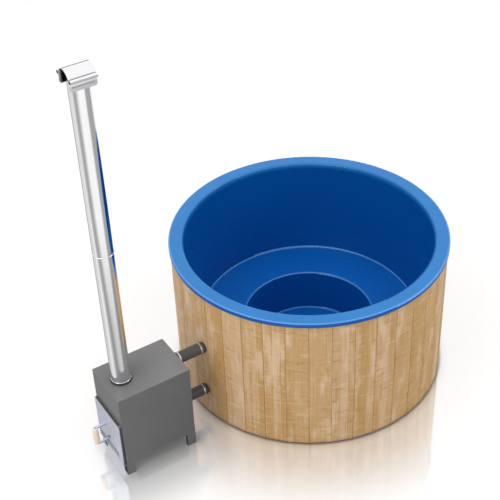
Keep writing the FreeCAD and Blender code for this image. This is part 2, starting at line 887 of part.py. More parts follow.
def door_hinge():
    lug_bottom = door_bottom_z - lug_gap - lug_height
    lug_top = door_top_z + lug_gap + lug_height
    bore_low = Vector(hinge_x, hinge_y, lug_bottom)
    bore_high = Vector(hinge_x, hinge_y, lug_top)
    bore = rod(hinge_rod_radius + hinge_fit, bore_low, bore_high)
    lugs = []
    for low in (lug_bottom, lug_top - lug_height):
        lug = box(
            door_front_x, front_x,
            hinge_y - lug_half_width, hinge_y + lug_half_width,
            low, low + lug_height,
        )
        lugs.append(lug.cut(bore))
    save("hinge_lugs", *lugs)
    profile = [
        (0, lug_bottom - hinge_head_height),
        (hinge_rod_radius, lug_bottom - hinge_head_height),
        (hinge_rod_radius, lug_top),
        (hinge_head_radius, lug_top),
        (hinge_head_radius, lug_top + hinge_head_height),
        (0, lug_top + hinge_head_height),
    ]
    save("hinge_rod", turned(profile, Placement(Vector(hinge_x, hinge_y, 0), Rotation())))


def door_shield():
    half = fire_opening_half + shield_border
    low = fire_opening_z - shield_border
    high = fire_opening_top + shield_border
    back = shield_x + door_skin
    low_post_z = guide_top_z + shield_post_gap + shield_post_radius
    shield = box(shield_x, back, heater_y - half, heater_y + half, low, high)
    posts = []
    for y in (heater_y - half + shield_post_inset, heater_y + half - shield_post_inset):
        for z in (low_post_z, high - shield_post_inset):
            posts.append(rod(shield_post_radius, Vector(skin_back_x, y, z), Vector(shield_x, y, z)))
    save("door_shield", fused(shield, *posts))
    inner = half - seal_width
    seal = box(back, door_back_x, heater_y - half, heater_y + half, low, high)
    hole = box(back, door_back_x, heater_y - inner, heater_y + inner, low + seal_width, high - seal_width)
    save("door_seal", seal.cut(hole))


def air_slider():
    front = skin_back_x + slider_fit
    back = front + slider_thickness
    margin = slot_width / 2 + slider_margin
    plate_body = box(front, back, slot_last_y - margin, slot_first_y + margin, slider_low_z, slider_high_z)
    knob_hole = rod(knob_shank_radius, Vector(front, knob_y, knob_z), Vector(back, knob_y, knob_z))
    save("air_slider", plate_body.cut(slot_row(front, back) + [knob_hole]))
    face = door_front_x - knob_gap
    profile = [
        (0, face - back - knob_flange_height),
        (knob_flange_radius, face - back - knob_flange_height),
        (knob_flange_radius, face - back),
        (knob_shank_radius, face - back),
        (knob_shank_radius, 0),
        (knob_head_radius, 0),
        (knob_head_radius, knob_head_height - knob_head_chamfer),
        (knob_head_radius - knob_head_chamfer, knob_head_height),
        (0, knob_head_height),
    ]
    forward = Rotation(up, Vector(-1, 0, 0))
    save("slider_knob", turned(profile, Placement(Vector(face, knob_y, knob_z), forward)))
    lip_front = back + slider_fit
    lip_back = lip_front + guide_thickness
    y0 = slot_last_y - margin - slider_travel
    y1 = slot_first_y + margin
    guides = []
    for edge, out in ((slider_low_z - slider_fit, -1), (slider_high_z + slider_fit, 1)):
        rail_low, rail_high = sorted((edge, edge + out * guide_lip))
        lip_low, lip_high = sorted((edge, edge - out * guide_overlap))
        rail = box(skin_back_x, lip_back, y0, y1, rail_low, rail_high)
        lip = box(lip_front, lip_back, y0, y1, lip_low, lip_high)
        guides.append(fused(rail, lip))
    save("slider_guides", *guides)


def door_handle():
    half = handle_bar_width / 2
    rod_hole = handle_rod_radius + handle_rod_fit
    bar_zs = (handle_low_z, grip_high_z)
    top_z = grip_high_z + handle_bar_thickness
    bore = rod(rod_hole, Vector(grip_x, handle_y, handle_low_z), Vector(grip_x, handle_y, top_z))
    bars = []
    for z in bar_zs:
        bar = box(grip_x, door_front_x, handle_y - half, handle_y + half, z, z + handle_bar_thickness)
        eye = rod(half, Vector(grip_x, handle_y, z), Vector(grip_x, handle_y, z + handle_bar_thickness))
        bars.append(fused(bar, eye).cut(bore))
    save("handle_bars", *bars)
    end_low = Vector(grip_end_radius, 0, grip_low_z)
    end_high = Vector(grip_end_radius, 0, grip_high_z)
    swell = Part.Arc(end_low, Vector(grip_middle_radius, 0, (grip_low_z + grip_high_z) / 2), end_high)
    bore_low = Vector(rod_hole, 0, grip_low_z)
    bore_high = Vector(rod_hole, 0, grip_high_z)
    straight = Part.makePolygon([end_high, bore_high, bore_low, end_low])
    grip = Part.Face(Part.Wire([swell.toShape()] + straight.Edges)).revolve(Vector(), up, 360)
    grip.translate(Vector(grip_x, handle_y, 0))
    save("handle_grip", grip)
    nut_low = handle_low_z - nut_height
    rod_low = Vector(grip_x, handle_y, nut_low - handle_rod_tail)
    rod_high = Vector(grip_x, handle_y, top_z + nut_height + handle_rod_tail)
    threaded = rod(handle_rod_radius, rod_low, rod_high)
    save("handle_rod", threaded)
    nuts = []
    for z in (nut_low, top_z):
        nut = hexagon(nut_across, nut_height, Vector(grip_x, handle_y, z))
        nut_bore = rod(rod_hole, Vector(grip_x, handle_y, z), Vector(grip_x, handle_y, z + nut_height))
        nuts.append(nut.cut(nut_bore))
    save("handle_nuts", *nuts)


os.makedirs("parts", exist_ok=True)
tub_liner()
wall_staves()
cladding_hoops()
cladding_screws()
base_joists()
bench_posts()
tub_stubs()
wall_grilles()
floor_drain()
hoses()
hose_clamps()
heater_casing()
heater_legs()
firebox()
fire_grate()
ash_pan()
heater_spigots()
flue_base()
chimney()
chimney_cap()
door_pan()
door_hinge()
door_shield()
air_slider()
door_handle()
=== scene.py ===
import bpy
import math
from mathutils import Matrix, Vector


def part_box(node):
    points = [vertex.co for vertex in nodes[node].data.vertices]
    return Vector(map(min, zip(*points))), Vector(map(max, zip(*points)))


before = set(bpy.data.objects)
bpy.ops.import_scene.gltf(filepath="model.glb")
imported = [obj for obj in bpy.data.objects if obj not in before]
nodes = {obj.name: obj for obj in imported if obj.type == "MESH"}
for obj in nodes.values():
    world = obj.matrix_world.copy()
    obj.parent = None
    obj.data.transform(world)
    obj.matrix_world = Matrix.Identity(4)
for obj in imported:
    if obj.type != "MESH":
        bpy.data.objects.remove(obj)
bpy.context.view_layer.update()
print("frame loaded:", len(nodes), "nodes")


# small helpers for building materials

noiseRange = (0.3, 0.7)      # where most values of a noise lie
wear = {"rays": 6, "turn": (0.02, 0.2)}      # how far a normal turns at a worn corner


def feed(tree, socket, value):
    if isinstance(value, bpy.types.NodeSocket):
        tree.links.new(value, socket)
    else:
        socket.default_value = value


def put(tree, kind, inputs=None, **settings):
    node = tree.nodes.new("ShaderNode" + kind)
    for key, value in settings.items():
        setattr(node, key, value)
    for key, value in (inputs or {}).items():
        feed(tree, node.inputs[key], value)
    return node


def calc(tree, operation, *values):
    return put(tree, "Math", dict(enumerate(values)), operation=operation).outputs[0]


def diagonal(tree, first, second):
    squares = calc(tree, "MULTIPLY_ADD", first, first, calc(tree, "MULTIPLY", second, second))
    return calc(tree, "SQRT", squares)


def span(tree, value, low, high, first=0.0, last=1.0):      # smooth step from first to last
    inputs = {"Value": value, "From Min": low, "From Max": high, "To Min": first, "To Max": last}
    return put(tree, "MapRange", inputs, interpolation_type="SMOOTHSTEP").outputs[0]


def spread(tree, value, first, last):      # from first to last over the usual values of a noise
    return span(tree, value, *noiseRange, first, last)


def tint(tree, share, first, second):
    inputs = {0: share, 6: first, 7: second}      # 6 and 7 are the node's colours
    return put(tree, "Mix", inputs, data_type="RGBA").outputs[2]


def colour(values):
    return (*values, 1.0)


def grey(level):
    return (level, level, level, 1.0)


def split(tree, where):      # X, Y and Z of a place or a direction
    return put(tree, "SeparateXYZ", {0: where}).outputs


def facingParts(tree):      # X, Y and Z of the surface's normal
    return split(tree, put(tree, "NewGeometry").outputs["Normal"])


def stretch(tree, where, x, y, z):
    return put(tree, "VectorMath", {0: where, 1: (x, y, z)}, operation="MULTIPLY").outputs[0]


def noise(tree, where, scale, detail=3.0, roughness=0.55):
    inputs = {"Vector": where, "Scale": scale, "Detail": detail, "Roughness": roughness}
    return put(tree, "TexNoise", inputs).outputs[0]


def drawnOut(tree, where, perMetre, detail=3.0, roughness=0.55):      # noise scaled along each axis
    return noise(tree, stretch(tree, where, *perMetre), 1.0, detail, roughness)


def drawLot(tree, number):      # one number always draws the same lot
    return put(tree, "TexWhiteNoise", {"W": number}, noise_dimensions="1D").outputs


def bump(tree, shader, height, distance, strength):
    inputs = {"Height": height, "Distance": distance, "Strength": strength}
    feed(tree, shader.inputs["Normal"], put(tree, "Bump", inputs).outputs[0])


def flatReach(tree, where):      # distance from the tub's axis
    place = split(tree, where)
    return diagonal(tree, place["X"], place["Y"])


def wornEdge(tree, radius):      # 1 along the corners of a piece, 0 on its faces
    rounded = put(tree, "Bevel", {"Radius": radius}, samples=wear["rays"]).outputs[0]
    flat = put(tree, "NewGeometry").outputs["Normal"]
    alike = put(tree, "VectorMath", {0: rounded, 1: flat}, operation="DOT_PRODUCT").outputs["Value"]
    return span(tree, calc(tree, "SUBTRACT", 1.0, alike), *wear["turn"])


def startFinish(name, metallic=0.0, specular=0.5):
    finish = bpy.data.materials.new(name)
    finish.use_nodes = True
    tree = finish.node_tree
    shader = tree.nodes["Principled BSDF"]
    shader.inputs["Metallic"].default_value = metallic
    shader.inputs["Specular IOR Level"].default_value = specular
    where = put(tree, "TexCoord").outputs["Object"]
    return finish, tree, shader, where


def dress(finish, *names):
    for name in names:
        piece = nodes[name]
        if not piece.material_slots:
            piece.data.materials.append(finish)
        for holder in piece.material_slots:
            holder.material = finish


# blue moulded liner

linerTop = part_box("tub_liner")[1].z
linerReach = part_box("tub_liner")[1].x
liner = {
    "rim": (0.020, 0.205, 0.560),
    # painted shade: inside the tub the blue is darker than the rim's own blue
    "inside": (0.0002, 0.083, 0.345),
    "level": (0.0002, 0.122, 0.490),      # bench and floor, painted lighter than the walls as painted light
    "lip": (0.008, 0.105, 0.400),         # painted shade on the turned-down edge
    # painted highlight along the rim's outer round
    "rimCornerHighlight": (0.100, 0.330, 0.800),
    # painted highlight along the folds inside the tub
    "insideCornerHighlight": (0.070, 0.290, 0.660),
    "shadeDepth": (0.045, 0.010),      # below the rim's top, where the painted shade inside the tub begins
    "rimWidth": 0.088, "rimEdge": 0.02,
    "lipWidth": 0.011, "lipEdge": 0.003,
    "wallLean": 0.45, "floorLean": 0.90,      # upward share of a wall's normal, and of a floor's
    "leanEdge": 0.1, "lipLean": 0.15, "levelLean": (0.4, 0.9),
    "cloud": (3.2, 4.0), "cloudShare": 0.14,      # scale and detail of each noise
    "swirl": (14.0, 5.0), "swirlShape": (1.0, 1.0, 3.0),
    "peel": (120.0, 2.0), "relief": (0.0004, 0.02),      # depth, and how much of it shows
    "specular": 0.36, "gloss": (0.27, 0.31),
}


def linerFinish():
    finish, tree, shader, where = startFinish("linerBlue", specular=liner["specular"])
    height = split(tree, where)["Z"]
    upward = facingParts(tree)["Z"]
    cloud = noise(tree, where, *liner["cloud"])
    swirl = noise(tree, stretch(tree, where, *liner["swirlShape"]), *liner["swirl"])
    reach = flatReach(tree, where)
    # painted shade inside the tub below the rim, with bench and floor painted lighter than the walls
    rimOutOfShade = span(tree, height, *(linerTop - depth for depth in liner["shadeDepth"]))
    inner = linerReach - liner["rimWidth"]
    rimOutOfShade = calc(tree, "MAXIMUM", rimOutOfShade, span(tree, reach, inner, inner + liner["rimEdge"]))
    level = span(tree, upward, *liner["levelLean"])
    body = tint(tree, level, colour(liner["inside"]), colour(liner["level"]))
    body = tint(tree, rimOutOfShade, body, colour(liner["rim"]))
    body = tint(tree, spread(tree, cloud, 0.0, liner["cloudShare"]), body, colour(liner["inside"]))
    wallLean, floorLean, soft = liner["wallLean"], liner["floorLean"], liner["leanEdge"]
    # painted highlight along the folds inside the tub, where the normal turns between wall and floor
    turning = calc(tree, "MULTIPLY", span(tree, upward, wallLean - soft, wallLean + soft),
                   span(tree, upward, floorLean - soft, floorLean, 1.0, 0.0))
    fold = calc(tree, "MULTIPLY", turning, calc(tree, "SUBTRACT", 1.0, rimOutOfShade))
    body = tint(tree, fold, body, colour(liner["insideCornerHighlight"]))
    lipStart = linerReach - liner["lipWidth"]
    outside = span(tree, reach, lipStart, lipStart + liner["lipEdge"])
    # painted highlight along the rim's outer round
    body = tint(tree, outside, body, colour(liner["rimCornerHighlight"]))
    # painted shade on the lip's outer face
    lip = span(tree, upward, wallLean - liner["lipLean"], wallLean + soft, 1.0, 0.0)
    lip = calc(tree, "MULTIPLY", outside, lip)
    feed(tree, shader.inputs["Base Color"], tint(tree, lip, body, colour(liner["lip"])))
    feed(tree, shader.inputs["Roughness"], spread(tree, swirl, *liner["gloss"]))
    bump(tree, shader, noise(tree, where, *liner["peel"]), *liner["relief"])
    return finish


# pine boards of the wall

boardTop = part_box("wall_staves")[1].z
corner = max(math.hypot(vertex.co.x, vertex.co.y) for vertex in nodes["wall_staves"].data.vertices)
boards = {
    "count": 40,
    "firstJoint": math.radians(1.3),
    "seed": 11.0, "jointSeed": 71.0, "stripSeed": 17.0, "runSeed": 29.0,
    "apart": (9.0, 9.0, 9.0),      # how far apart two boards can lie in the grain
    "cream": (0.760, 0.530, 0.325),
    "straw": (0.670, 0.425, 0.195),
    "gold": (0.580, 0.330, 0.095),
    "late": (0.420, 0.215, 0.070),
    "joint": (0.300, 0.155, 0.045),
    "knot": (0.200, 0.095, 0.035),
    "sap": (0.860, 0.660, 0.450),
    "paleBoards": ((27, 0.75), (19, 0.4), (22, 0.5), (24, 0.35), (33, 0.4)),      # number, extra paleness
    "strip": 0.047,
    "length": 0.26,           # of a stretch of even tone
    "darkFoot": (0.006, 0.03),    # height of the darker band at the boards' foot
    "goldBand": 0.10,          # depth below the rim over which more of the wood turns gold
    "jointLine": (0.006, 0.001),      # from a board's side, where its dark line starts and is full
    "streak": (75.0, 30.0, 2.2),      # marks per metre across, into and along a board
    "patch": (11.0, 6.0, 3.2),
    "fibre": (420.0, 420.0, 6.0),
    "dash": (8.0, 4.0, 58.0),
    "fleck": (20.0, 12.0, 7.0),
    "milk": (9.0, 5.0, 2.8),
    "vein": (170.0, 60.0, 5.0),
    "knots": (8.0, 1.0, 3.2),
    "specular": 0.3, "rough": (0.5, 0.66), "relief": (0.0006, 0.35),
}
boardFace = corner * math.cos(math.pi / boards["count"])
boardHalf = corner * math.sin(math.pi / boards["count"])


def boardSpace(tree, where):      # board number, and the place across, into and along that board
    place = split(tree, where)
    step = 2 * math.pi / boards["count"]
    angle = calc(tree, "ARCTAN2", place["Y"], place["X"])
    turn = calc(tree, "DIVIDE", calc(tree, "SUBTRACT", angle, boards["firstJoint"]), step)
    turn = calc(tree, "FLOORED_MODULO", turn, float(boards["count"]))
    number = calc(tree, "FLOOR", turn)
    lean = calc(tree, "MULTIPLY", calc(tree, "SUBTRACT", calc(tree, "SUBTRACT", turn, number), 0.5), step)
    reach = flatReach(tree, where)
    across = calc(tree, "MULTIPLY", reach, calc(tree, "SINE", lean))
    depth = calc(tree, "SUBTRACT", calc(tree, "MULTIPLY", reach, calc(tree, "COSINE", lean)), boardFace)
    return number, across, depth, place["Z"]


pith = {
    "across": (0.14, -0.07),      # how much its place varies, and the least
    "depth": (0.05, 0.02),
    "tilt": 0.09,
    "wander": (2.0, 2.0, 2.6), "wanderAcross": 0.03, "wanderDepth": 0.05,
    "ringStep": 0.0055,
    "ringDarkens": (0.35, 0.85), "ringEnds": (0.9, 1.0),      # shares of a ring
}


def growthRings(tree, own, across, depth, along, luck):      # round a pith that wanders behind the board
    wander = drawnOut(tree, own, pith["wander"], 2.0)
    pithAcross = calc(tree, "MULTIPLY_ADD", luck["Red"], *pith["across"])
    pithAcross = calc(tree, "MULTIPLY_ADD", wander, pith["wanderAcross"], pithAcross)
    tilt = calc(tree, "MULTIPLY", calc(tree, "SUBTRACT", luck["Green"], 0.5), pith["tilt"])
    pithDepth = calc(tree, "MULTIPLY_ADD", luck["Blue"], *pith["depth"])
    pithDepth = calc(tree, "MULTIPLY_ADD", along, tilt, pithDepth)
    pithDepth = calc(tree, "MULTIPLY_ADD", wander, pith["wanderDepth"], pithDepth)
    sideways = calc(tree, "SUBTRACT", across, pithAcross)
    inwards = calc(tree, "ADD", depth, pithDepth)
    reach = put(tree, "CombineXYZ", {"X": sideways, "Y": inwards, "Z": 0.0}).outputs[0]
    reach = put(tree, "VectorMath", {0: reach}, operation="LENGTH").outputs["Value"]
    ring = calc(tree, "FRACT", calc(tree, "DIVIDE", reach, pith["ringStep"]))
    return calc(tree, "MULTIPLY", span(tree, ring, *pith["ringDarkens"]),
                span(tree, ring, *pith["ringEnds"], 1.0, 0.0))


def boardJoint(tree, number, across):      # the dark line between two boards, heavier at some joints
    side = calc(tree, "ADD", number, calc(tree, "GREATER_THAN", across, 0.0))
    side = calc(tree, "FLOORED_MODULO", side, float(boards["count"]))
    tight = drawLot(tree, calc(tree, "ADD", side, boards["jointSeed"]))["Value"]
    start, full = boards["jointLine"]
    line = span(tree, calc(tree, "ABSOLUTE", across), boardHalf - start, boardHalf - full)
    return calc(tree, "MULTIPLY", line, span(tree, tight, 0.2, 1.0, 0.05, 0.38))


def boardFinish():
    finish, tree, shader, where = startFinish("pineBoards", specular=boards["specular"])
    number, across, depth, along = boardSpace(tree, where)
    lot = drawLot(tree, calc(tree, "ADD", number, boards["seed"]))["Color"]
    luck = put(tree, "SeparateColor", {0: lot}).outputs
    place = put(tree, "CombineXYZ", {"X": across, "Y": depth, "Z": along}).outputs[0]
    shift = stretch(tree, lot, *boards["apart"])
    own = put(tree, "VectorMath", {0: place, 1: shift}, operation="ADD").outputs[0]
    streak = drawnOut(tree, own, boards["streak"])
    patch = drawnOut(tree, own, boards["patch"])
    fibre = drawnOut(tree, own, boards["fibre"], 2.0)
    dash = drawnOut(tree, own, boards["dash"], 2.0)
    fleck = drawnOut(tree, own, boards["fleck"], 4.0, 0.6)
    milk = drawnOut(tree, own, boards["milk"])
    vein = drawnOut(tree, own, boards["vein"], 2.0)
    late = growthRings(tree, own, across, depth, along, luck)

    # strips across a board and stretches along it differ a little in tone
    lane = calc(tree, "ADD", calc(tree, "DIVIDE", across, boards["strip"]), luck["Green"])
    strip = calc(tree, "MULTIPLY_ADD", number, boards["stripSeed"], calc(tree, "FLOOR", lane))
    stripTone = drawLot(tree, strip)["Value"]
    seam = span(tree, calc(tree, "FRACT", lane), 0.0, 0.12, 1.0, 0.0)
    seam = calc(tree, "MULTIPLY", seam, span(tree, stripTone, 0.4, 0.9, 0.0, 0.35))
    run = calc(tree, "ADD", calc(tree, "DIVIDE", along, boards["length"]), luck["Blue"])
    runNumber = calc(tree, "MULTIPLY_ADD", number, boards["runSeed"], calc(tree, "FLOOR", run))
    runTone = drawLot(tree, runNumber)["Value"]
    runEnd = calc(tree, "MULTIPLY", span(tree, calc(tree, "FRACT", run), 0.0, 0.02, 1.0, 0.0),
                  span(tree, runTone, 0.5, 0.55))

    tone = calc(tree, "MULTIPLY_ADD", luck["Red"], 0.55, -0.02)
    tone = calc(tree, "MULTIPLY_ADD", stripTone, 0.75, tone)
    tone = calc(tree, "MULTIPLY_ADD", runTone, 0.2, tone)
    tone = calc(tree, "ADD", tone, span(tree, streak, 0.34, 0.66, -0.3, 0.3))
    tone = calc(tree, "ADD", tone, span(tree, fleck, 0.36, 0.64, -0.2, 0.2))
    for chosen, paleness in boards["paleBoards"]:
        here = calc(tree, "COMPARE", number, float(chosen), 0.4)
        tone = calc(tree, "SUBTRACT", tone, calc(tree, "MULTIPLY", here, paleness))
    golden = calc(tree, "MULTIPLY", span(tree, patch, 0.5, 0.66), span(tree, tone, 0.3, 1.0, 0.2, 0.9))
    shaded = span(tree, along, boardTop - boards["goldBand"], boardTop, 0.0, 0.5)
    golden = calc(tree, "MAXIMUM", golden, calc(tree, "MULTIPLY", shaded, span(tree, patch, 0.3, 0.55)))
    golden = calc(tree, "MAXIMUM", golden, span(tree, stripTone, 0.7, 0.95, 0.0, 0.55))
    cells = put(tree, "TexVoronoi", {"Vector": stretch(tree, own, *boards["knots"]), "Scale": 1.0}).outputs
    picked = put(tree, "SeparateColor", {0: cells["Color"]}).outputs["Red"]
    knot = calc(tree, "MULTIPLY", span(tree, cells["Distance"], 0.03, 0.1, 1.0, 0.0),
                span(tree, picked, 0.86, 0.88))

    layers = (      # from the wood's own tone outwards
        (golden, "gold"),
        (span(tree, milk, 0.52, 0.68, 0.0, 0.7), "sap"),
        (calc(tree, "MULTIPLY", late, 0.13), "late"),
        (span(tree, streak, 0.58, 0.74, 0.0, 0.45), "late"),
        (span(tree, vein, 0.56, 0.74, 0.0, 0.26), "late"),
        (seam, "late"),
        (span(tree, fibre, 0.4, 0.8, 0.0, 0.12), "late"),
        (span(tree, dash, 0.60, 0.70, 0.0, 0.45), "late"),
        (span(tree, dash, 0.42, 0.32, 0.0, 0.35), "sap"),
        (calc(tree, "MULTIPLY", runEnd, 0.22), "late"),
        (calc(tree, "MULTIPLY", knot, 0.3), "knot"),
        (boardJoint(tree, number, across), "joint"),
        (span(tree, along, *boards["darkFoot"], 0.35, 0.0), "late"),
    )
    body = tint(tree, span(tree, tone, 0.0, 0.75), colour(boards["cream"]), colour(boards["straw"]))
    for share, wood in layers:
        body = tint(tree, share, body, colour(boards[wood]))
    feed(tree, shader.inputs["Base Color"], body)
    feed(tree, shader.inputs["Roughness"], span(tree, fibre, 0.2, 0.8, *boards["rough"]))
    bump(tree, shader, calc(tree, "MULTIPLY_ADD", late, 0.5, fibre), *boards["relief"])
    return finish


# other timber: sawn joists, ply hoops, the turned grip

sawnTimber = {
    "pale": (0.58, 0.41, 0.22), "dark": (0.36, 0.22, 0.10),
    "grain": (30.0, 2.0, 120.0), "cloud": (6.0, 2.0),      # cloud's scale and detail
    "rough": 0.75, "roughSpread": 0.06,
    "edge": 0.0015, "edgeShare": 0.3,      # rubbed pale along the corners
    "specular": 0.4, "relief": (0.0006, 0.4),
}
plyTimber = dict(
    sawnTimber, pale=(0.62, 0.46, 0.27), dark=(0.45, 0.30, 0.15), grain=(6.0, 6.0, 380.0), rough=0.7,
)
gripTimber = dict(
    sawnTimber, pale=(1.00, 0.84, 0.68), dark=(1.00, 0.76, 0.57), grain=(260.0, 260.0, 14.0), rough=0.38,
)


def timberFinish(name, timber):
    finish, tree, shader, where = startFinish(name, specular=timber["specular"])
    grain = drawnOut(tree, where, timber["grain"], 4.0)
    cloud = noise(tree, where, *timber["cloud"])
    body = tint(tree, span(tree, grain, 0.42, 0.72), colour(timber["pale"]), colour(timber["dark"]))
    body = tint(tree, span(tree, cloud, 0.4, 0.7, 0.0, 0.3), body, colour(timber["dark"]))
    edge = calc(tree, "MULTIPLY", wornEdge(tree, timber["edge"]), timber["edgeShare"])
    feed(tree, shader.inputs["Base Color"], tint(tree, edge, body, colour(timber["pale"])))
    smooth, coarse = timber["rough"] - timber["roughSpread"], timber["rough"] + timber["roughSpread"]
    feed(tree, shader.inputs["Roughness"], spread(tree, grain, smooth, coarse))
    bump(tree, shader, grain, *timber["relief"])
    return finish


# heat-proof paint of the stove

flueLow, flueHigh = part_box("chimney_lower")
flueAxis = (flueLow + flueHigh) / 2
stovePaint = {
    "grey": (0.140, 0.140, 0.145),
    "dust": (0.290, 0.290, 0.292),
    "burnt": (0.095, 0.095, 0.098),
    "bare": (0.34, 0.34, 0.35),
    "heat": (0.07, 0.34),      # reach of the darker paint round the flue
    "mottle": (5.0, 3.0), "speck": (420.0, 2.0),      # scale and detail
    "edge": 0.0025,
    "gloss": (0.36, 0.48), "relief": (0.0003, 0.25),
}
legPaint = dict(stovePaint, ends=(0.018, 0.018, 0.019))      # painted shade: the legs' faces towards the front and back are near-black
collarPaint = dict(
    stovePaint, grey=(0.030, 0.030, 0.032), dust=(0.060, 0.060, 0.062), bare=(0.12, 0.12, 0.12),
)


def fromFlue(tree, where):      # distance from the flue's axis
    middle = (flueAxis.x, flueAxis.y, 0.0)
    return flatReach(tree, put(tree, "VectorMath", {0: where, 1: middle}, operation="SUBTRACT").outputs[0])


def paintFinish(name, paint):
    finish, tree, shader, where = startFinish(name)
    mottle = noise(tree, where, *paint["mottle"])
    speck = noise(tree, where, *paint["speck"])
    facing = facingParts(tree)
    body = tint(tree, span(tree, mottle, 0.35, 0.7, 0.03, 0.11), colour(paint["grey"]), colour(paint["dust"]))
    settled = calc(tree, "MULTIPLY", span(tree, facing["Z"], 0.5, 0.95),
                   span(tree, mottle, 0.25, 0.7, 0.36, 0.44))
    body = tint(tree, settled, body, colour(paint["dust"]))
    burnt = calc(tree, "MULTIPLY", span(tree, fromFlue(tree, where), *paint["heat"], 0.5, 0.0), facing["Z"])
    body = tint(tree, calc(tree, "MAXIMUM", burnt, 0.0), body, colour(paint["burnt"]))
    # painted shade on the legs' faces that look to the front and back
    if "ends" in paint:
        end = span(tree, calc(tree, "ABSOLUTE", facing["X"]), 0.6, 0.9)
        body = tint(tree, end, body, colour(paint["ends"]))
    body = tint(tree, span(tree, speck, 0.55, 0.8, 0.0, 0.14), body, colour(paint["bare"]))
    edge = calc(tree, "MULTIPLY", wornEdge(tree, paint["edge"]), span(tree, mottle, 0.35, 0.6, 0.1, 0.4))
    feed(tree, shader.inputs["Base Color"], tint(tree, edge, body, colour(paint["bare"])))
    feed(tree, shader.inputs["Roughness"], spread(tree, speck, *paint["gloss"]))
    bump(tree, shader, speck, *paint["relief"])
    return finish


# sheet and bar steels

capLow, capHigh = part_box("chimney_cap")
pipeLow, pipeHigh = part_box("chimney_upper")
pipeRadius = (pipeHigh.y - pipeLow.y) / 2
capSheet = 0.0015
capSpring = capHigh.z - pipeRadius - capSheet      # height where the cap's arch starts
flueSteel = {
    "metal": (0.96, 0.96, 0.97), "shade": (0.88, 0.88, 0.91),
    "brush": (160.0, 160.0, 2.0), "cloud": (5.0, 3.0),      # cloud's scale and detail
    "gloss": (0.09, 0.16), "relief": (0.0002, 0.03),
}
capSteel = dict(
    flueSteel, brush=(2.0, 160.0, 160.0),
    creaseShade=0.014, creaseShare=0.95, creaseRays=8,      # painted shade in the corners beside the beads
    cheekShade=(0.66, 0.66, 0.69), cheekDrop=0.02,          # painted shade on the straight sides below the arch, in place of their darker reflection
)
barSteel = dict(
    flueSteel, metal=(0.78, 0.82, 0.90), shade=(0.62, 0.66, 0.74),
    brush=(60.0, 260.0, 260.0), gloss=(0.22, 0.36), relief=(0.0002, 0.08),
)
clampSteel = dict(
    flueSteel, metal=(0.80, 0.81, 0.83), shade=(0.58, 0.59, 0.61),
    brush=(500.0, 40.0, 40.0), gloss=(0.2, 0.34), relief=(0.0002, 0.08),
)
zincSteel = dict(
    flueSteel, metal=(0.66, 0.67, 0.69), shade=(0.46, 0.46, 0.44),
    brush=(220.0, 220.0, 220.0), gloss=(0.32, 0.5), relief=(0.0002, 0.12),
)
soot = {
    "black": (0.012, 0.011, 0.010), "rough": 0.85,
    "pipe": 0.0595, "skin": 0.0006,      # radius inside the pipe, and how sharply the soot ends there
    "mouth": 0.02,                       # width of the cleaner rim at the cap's open ends
}


def flueInside(tree, where):      # 1 on the smoke side of the pipe
    return span(tree, fromFlue(tree, where), soot["pipe"] - soot["skin"], soot["pipe"], 1.0, 0.0)


def capInside(tree, where):      # 1 on the smoke side of the arched sheet
    place = split(tree, where)
    aside = calc(tree, "SUBTRACT", place["Y"], flueAxis.y)
    above = calc(tree, "MAXIMUM", calc(tree, "SUBTRACT", place["Z"], capSpring), 0.0)
    reach = diagonal(tree, aside, above)
    within = calc(tree, "ABSOLUTE", calc(tree, "SUBTRACT", place["X"], flueAxis.x))
    capHalf, skin = (capHigh.x - capLow.x) / 2, soot["skin"]
    mouth = span(tree, within, capHalf - soot["mouth"], capHalf, 1.0, 0.3)
    inner = span(tree, reach, pipeRadius + skin, pipeRadius + 2 * skin, 1.0, 0.0)
    return calc(tree, "MULTIPLY", mouth, inner)


def steelFinish(name, steel, smokeSide=None):
    finish, tree, shader, where = startFinish(name, metallic=1.0)
    brush = drawnOut(tree, where, steel["brush"])
    cloud = noise(tree, where, *steel["cloud"])
    body = tint(tree, span(tree, brush, 0.35, 0.75, 0.0, 0.5), colour(steel["metal"]), colour(steel["shade"]))
    body = tint(tree, span(tree, cloud, 0.45, 0.75, 0.0, 0.4), body, colour(steel["shade"]))
    gloss = spread(tree, brush, *steel["gloss"])
    if "creaseShade" in steel:
        nearby = {"Distance": steel["creaseShade"]}
        openness = put(tree, "AmbientOcclusion", nearby, samples=steel["creaseRays"]).outputs["AO"]
        height = split(tree, where)["Z"]
        # painted shade on the straight sides below the arch
        cheekShade = span(tree, height, capSpring - steel["cheekDrop"], capSpring, 1.0, 0.0)
        body = tint(tree, cheekShade, body, colour(steel["cheekShade"]))
        # painted shade where the arch and beads close in on each other
        creaseShade = span(tree, openness, 0.4, 0.9, steel["creaseShare"], 0.0)
        body = tint(tree, creaseShade, body, colour(soot["black"]))
    if smokeSide:
        sooty = smokeSide(tree, where)
        body = tint(tree, sooty, body, colour(soot["black"]))
        gloss = calc(tree, "MAXIMUM", gloss, calc(tree, "MULTIPLY", sooty, soot["rough"]))
    feed(tree, shader.inputs["Base Color"], body)
    feed(tree, shader.inputs["Roughness"], gloss)
    bump(tree, shader, brush, *steel["relief"])
    return finish


# galvanised sheet of the door

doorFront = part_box("door_pan")[0].x
doorSteel = {
    "zinc": (0.64, 0.67, 0.77), "flake": (0.53, 0.55, 0.65),
    "metallic": 0.6, "gloss": (0.34, 0.5), "relief": (0.0003, 0.1),
    "spangle": 95.0, "spangleShare": 0.35,      # flakes per metre
    "smear": (20.0, 60.0, 5.0),
    "folds": (0.13, 0.13, 0.137), "skin": 0.002,      # painted behind the front sheet
    "slotWallShade": (0.012, 0.012, 0.013),                    # painted shade on the slots' side walls
    "soot": (0.030, 0.030, 0.034), "sootShare": 0.7,      # smoke marks round the air slots, also painted shade that makes them look wider and taller
    "slots": 13, "slotFirst": 0.002, "slotPitch": 0.0205, "slotHalf": (0.0038, 0.0050),
    "slotLow": (0.098, 0.106), "slotHigh": (0.158, 0.168),
}
